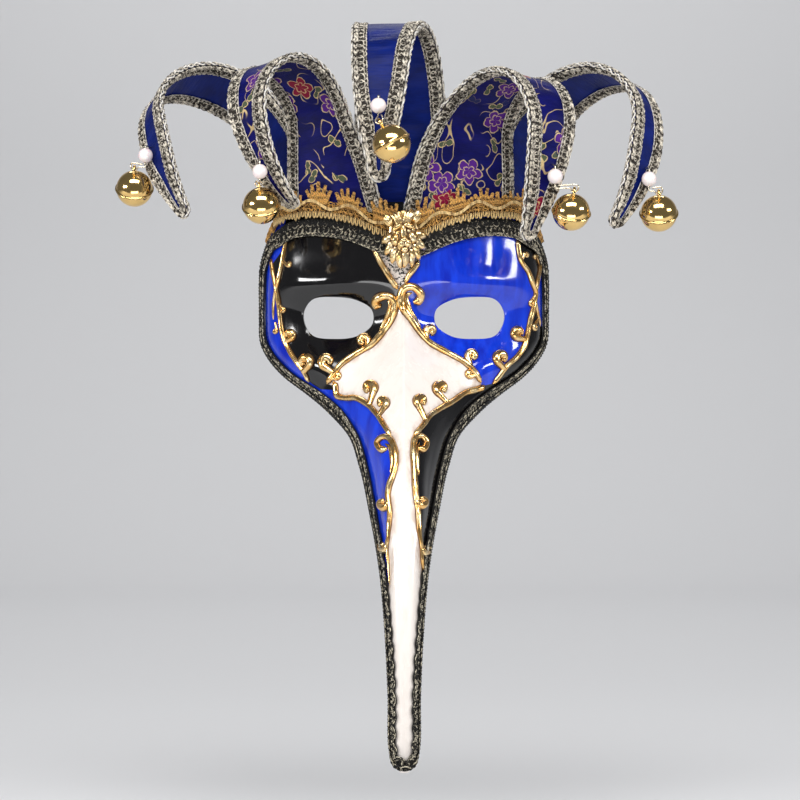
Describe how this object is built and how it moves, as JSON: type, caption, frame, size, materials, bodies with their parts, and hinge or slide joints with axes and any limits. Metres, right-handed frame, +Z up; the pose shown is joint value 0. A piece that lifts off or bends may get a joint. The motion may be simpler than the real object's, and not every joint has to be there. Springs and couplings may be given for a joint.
{
  "type": "half face mask with a long hooked beak and a horned crown of bells",
  "caption": "Carnival half mask with a long hooked beak, gilt scrollwork, a boss with a lion's face and a crown of bent horns that carry pearls and bells.",
  "frame": {"origin": "on the inside of the nose bridge, where the mask rests on the wearer's nose, level with the eye holes", "axes": "+Z up; the front faces -Y; +X to the viewer's right, so +Y points at the wearer"},
  "size_m": [0.3074, 0.1678, 0.3964],
  "materials": {
    "lacquer": "gloss paint in blue, black and ivory",
    "gilt": "raised scrollwork painted gold, with brown in its hollows",
    "cast_gilt": "cast, gilt and polished",
    "bell_brass": "polished",
    "black_braid": "black cord braid with gold thread",
    "silver_braid": "metallic thread braid in silver and pale gold",
    "gold_lace": "metallic thread lace in gold",
    "satin": "plain blue satin",
    "brocade": "blue brocade with flowers and gold outlines",
    "pearl": "pearl lustre",
    "wire": "drawn wire"
  },
  "bodies": {
    "root": {"mask_shell": "lacquer", "rim_braid": "black_braid", "brow_scroll_left": "gilt", "brow_scroll_right": "gilt", "eye_scroll_left": "gilt", "eye_scroll_right": "gilt", "cheek_scroll_left": "gilt", "cheek_scroll_right": "gilt", "beak_scroll_left": "gilt", "beak_scroll_right": "gilt", "horn_far_left": "satin", "horn_far_left_trim": "silver_braid", "pearl_1": "pearl", "bell_1": "bell_brass", "bell_wire_1": "wire", "horn_left": "brocade", "horn_left_trim": "silver_braid", "pearl_2": "pearl", "bell_2": "bell_brass", "bell_wire_2": "wire", "horn_middle": "satin", "horn_middle_trim": "silver_braid", "pearl_3": "pearl", "bell_3": "bell_brass", "bell_wire_3": "wire", "horn_right": "brocade", "horn_right_trim": "silver_braid", "pearl_4": "pearl", "bell_4": "bell_brass", "bell_wire_4": "wire", "horn_far_right": "satin", "horn_far_right_trim": "silver_braid", "pearl_5": "pearl", "bell_5": "bell_brass", "bell_wire_5": "wire", "crown_lace": "gold_lace", "lion_boss": "cast_gilt"}
  },
  "joints": []
}
